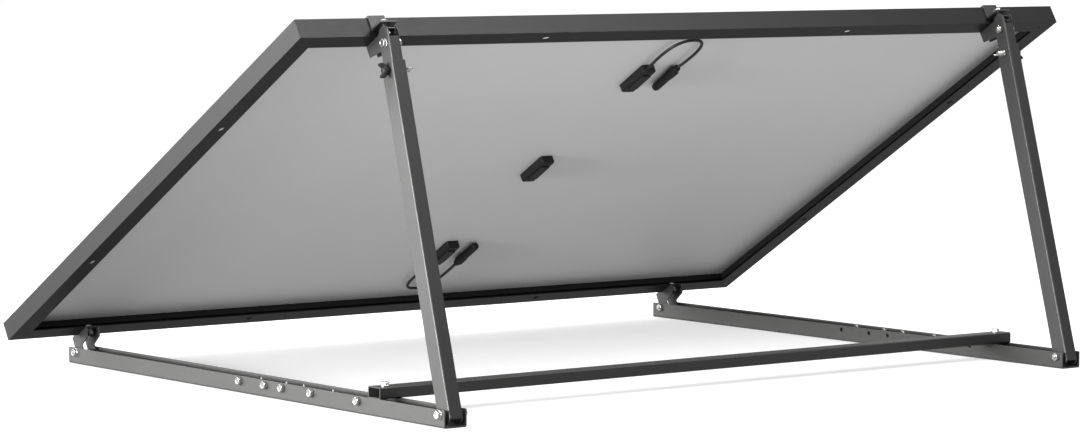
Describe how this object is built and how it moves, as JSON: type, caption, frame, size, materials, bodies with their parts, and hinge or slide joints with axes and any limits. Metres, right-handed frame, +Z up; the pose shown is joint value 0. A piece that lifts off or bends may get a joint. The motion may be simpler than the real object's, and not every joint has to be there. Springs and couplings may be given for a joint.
{
  "type": "solar panel tilt mount",
  "caption": "Adjustable tilt mount: open rails, a crossbar and telescopic slotted legs that hold a framed solar panel seen from behind, with junction boxes and leads.",
  "frame": {"origin": "ground level, at the middle of the four anchor holes in the rails", "axes": "+X along the panel's long side, +Y from the raised edge to the low edge, +Z up"},
  "size_m": [1.722, 1.2049, 0.6655],
  "materials": {
    "rail": "dark anodised",
    "crossbar": "dark anodised",
    "frame": "black anodised",
    "leg": "dark anodised",
    "inner_leg": "dark anodised",
    "bracket": "dark anodised",
    "bolts": "stainless",
    "bush": "turned",
    "glass": "textured solar glass",
    "cells": "encapsulated cells",
    "backsheet": "grey-white film",
    "black_plastic": "moulded",
    "cable": "jacket"
  },
  "bodies": {
    "base": {"rail_left": "rail", "rail_right": "rail", "crossbar": "crossbar", "crossbar_bolts": "bolts", "crossbar_nuts": "bolts", "rear_pivot_bolts": "bolts", "rear_pivot_nuts": "bolts", "rear_pivot_spacers": "bush", "front_pivot_bolts": "bolts", "front_pivot_nuts": "bolts", "front_pivot_spacers": "bush", "preset_bolts": "bolts", "preset_nuts": "bolts"},
    "outer_left": {"leg_outer_left": "leg"},
    "inner_left": {"leg_inner_left": "inner_leg"},
    "lock_left": {"lock_knob_left": "black_plastic", "lock_bolt_left": "bolts"},
    "wing_left": {"wing_nut_left": "bolts"},
    "outer_right": {"leg_outer_right": "leg"},
    "inner_right": {"leg_inner_right": "inner_leg"},
    "lock_right": {"lock_knob_right": "black_plastic", "lock_bolt_right": "bolts"},
    "wing_right": {"wing_nut_right": "bolts"},
    "panel": {"hinge_bracket_left": "bracket", "pivot_bracket_left": "bracket", "end_clamp_left": "bracket", "frame_left": "frame", "hinge_bracket_right": "bracket", "pivot_bracket_right": "bracket", "end_clamp_right": "bracket", "frame_right": "frame", "frame_top": "frame", "frame_bottom": "frame", "hinge_bracket_bolts": "bolts", "hinge_bracket_nuts": "bolts", "clamp_bolts": "bolts", "clamp_nuts": "bolts", "top_pivot_bolts": "bolts", "top_pivot_nuts": "bolts", "corner_keys": "frame", "glass": "glass", "cell_sheet": "cells", "backsheet": "backsheet", "junction_box_bottom": "black_plastic", "junction_lid_bottom": "black_plastic", "junction_box_middle": "black_plastic", "junction_lid_middle": "black_plastic", "junction_box_top": "black_plastic", "junction_lid_top": "black_plastic", "lead_bottom": "cable", "connector_bottom": "black_plastic", "lead_top": "cable", "connector_top": "black_plastic"}
  },
  "joints": [
    {"name": "panel_tilt", "type": "hinge", "parent": "base", "child": "panel", "pos_m": [0, 0.574, 0.0215], "axis": [-1, 0, 0], "range_deg": [0, 24]},
    {"name": "outer_leg_left", "type": "hinge", "parent": "base", "child": "outer_left", "pos_m": [-0.7, -0.586, 0.0215], "axis": [-1, 0, 0], "range_deg": [0, 12]},
    {"name": "inner_leg_left", "type": "hinge", "parent": "panel", "child": "inner_left", "pos_m": [-0.7, -0.41906, 0.62102], "axis": [-1, 0, 0], "range_deg": [-12, 0]},
    {"name": "lock_turn_left", "type": "hinge", "parent": "outer_left", "child": "lock_left", "pos_m": [-0.7, -0.43149, 0.57639], "axis": [-1, 0, 0], "continuous": true},
    {"name": "wing_nut_turn_left", "type": "hinge", "parent": "outer_left", "child": "wing_left", "pos_m": [-0.7, -0.43149, 0.57639], "axis": [1, 0, 0], "continuous": true},
    {"name": "outer_leg_right", "type": "hinge", "parent": "base", "child": "outer_right", "pos_m": [0.7, -0.586, 0.0215], "axis": [-1, 0, 0], "range_deg": [0, 12]},
    {"name": "inner_leg_right", "type": "hinge", "parent": "panel", "child": "inner_right", "pos_m": [0.7, -0.41906, 0.62102], "axis": [-1, 0, 0], "range_deg": [-12, 0]},
    {"name": "lock_turn_right", "type": "hinge", "parent": "outer_right", "child": "lock_right", "pos_m": [0.7, -0.43149, 0.57639], "axis": [1, 0, 0], "continuous": true},
    {"name": "wing_nut_turn_right", "type": "hinge", "parent": "outer_right", "child": "wing_right", "pos_m": [0.7, -0.43149, 0.57639], "axis": [-1, 0, 0], "continuous": true}
  ],
  "couplings": [
    {"joint": "outer_leg_left", "follows": "panel_tilt", "ratio": 0.5},
    {"joint": "inner_leg_left", "follows": "panel_tilt", "ratio": -0.5},
    {"joint": "outer_leg_right", "follows": "panel_tilt", "ratio": 0.5},
    {"joint": "inner_leg_right", "follows": "panel_tilt", "ratio": -0.5}
  ]
}
